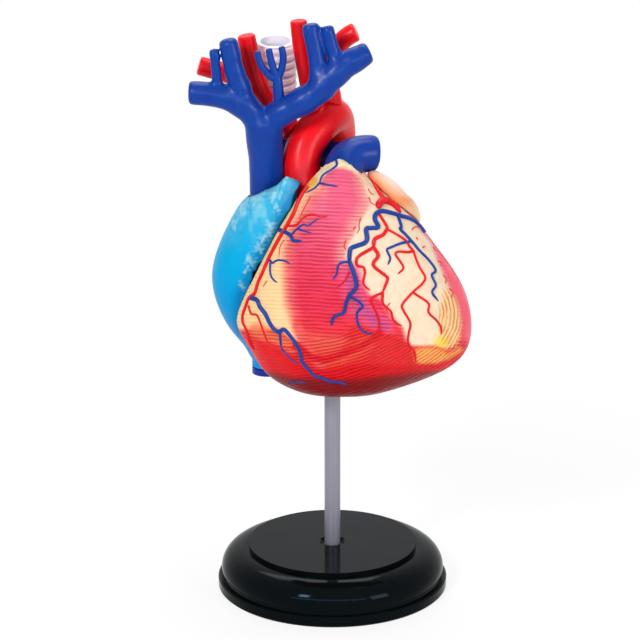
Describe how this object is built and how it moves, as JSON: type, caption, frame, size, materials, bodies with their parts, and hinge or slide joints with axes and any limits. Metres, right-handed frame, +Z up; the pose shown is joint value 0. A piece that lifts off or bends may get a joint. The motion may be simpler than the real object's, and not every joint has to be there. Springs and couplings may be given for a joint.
{
  "type": "human heart anatomy model on a stand",
  "caption": "Painted human heart teaching model with great vessels, removable front wall, atrium, veins and auricle, on a metal rod and a round glossy base.",
  "frame": {"origin": "centre of the base's underside, on the axis of the support rod", "axes": "+Z up along the rod, -Y is the front of the heart, +X is the heart's own left side (the viewer's right)"},
  "size_m": [0.1038, 0.0872, 0.219],
  "materials": {
    "black_base": "gloss",
    "rod_metal": "satin",
    "socket_metal": "satin",
    "heart_wall": "satin, painted",
    "valve_plate_cream": "satin",
    "valve_cream": "satin",
    "left_atrium_pink": "satin",
    "auricle_peach": "satin, painted",
    "vessel_red": "gloss",
    "vessel_blue": "gloss",
    "vein_dark_blue": "gloss",
    "right_atrium_cyan": "satin, painted",
    "trachea_white": "satin"
  },
  "bodies": {
    "stand": {"stand_base": "black_base"},
    "rod": {"stand_rod": "rod_metal"},
    "core": {"posterior_wall": "heart_wall", "rod_socket": "socket_metal", "valve_plate": "valve_plate_cream", "tricuspid_valve": "valve_cream", "mitral_valve": "valve_cream", "aortic_valve": "valve_cream", "pulmonary_valve": "valve_cream", "left_atrium": "left_atrium_pink", "left_upper_pulmonary_vein": "vessel_red", "left_lower_pulmonary_vein": "vessel_red", "right_upper_pulmonary_vein": "vessel_red", "right_lower_pulmonary_vein": "vessel_red", "pulmonary_trunk": "vessel_blue", "right_pulmonary_artery": "vessel_blue", "trachea": "trachea_white"},
    "front": {"anterior_wall": "heart_wall"},
    "atrium": {"right_atrium": "right_atrium_cyan", "inferior_vena_cava": "vein_dark_blue"},
    "veins": {"superior_vena_cava": "vessel_blue", "thyroid_veins": "vessel_blue"},
    "arteries": {"aorta": "vessel_red", "brachiocephalic_artery": "vessel_red", "left_carotid_artery": "vessel_red", "left_subclavian_artery": "vessel_red"},
    "auricle": {"left_auricle": "auricle_peach"}
  },
  "joints": [
    {"name": "rod_swivel", "type": "hinge", "parent": "stand", "child": "rod", "pos_m": [0, 0, 0.01], "axis": [0, 0, 1], "continuous": true},
    {"name": "heart_lift", "type": "slide", "parent": "rod", "child": "core", "axis": [0, 0, 1], "range_m": [0, 0.024]},
    {"name": "front_wall_pull", "type": "slide", "parent": "core", "child": "front", "axis": [0, -1, 0], "range_m": [0, 0.05]},
    {"name": "right_atrium_pull", "type": "slide", "parent": "core", "child": "atrium", "axis": [-1, 0, 0], "range_m": [0, 0.035]},
    {"name": "vena_cava_lift", "type": "slide", "parent": "atrium", "child": "veins", "axis": [0, 0, 1], "range_m": [0, 0.03]},
    {"name": "arteries_lift", "type": "slide", "parent": "core", "child": "arteries", "axis": [0, 0, 1], "range_m": [0, 0.006]},
    {"name": "left_auricle_pull", "type": "slide", "parent": "core", "child": "auricle", "axis": [0.9928, -0.12, 0], "range_m": [0, 0.03]}
  ]
}
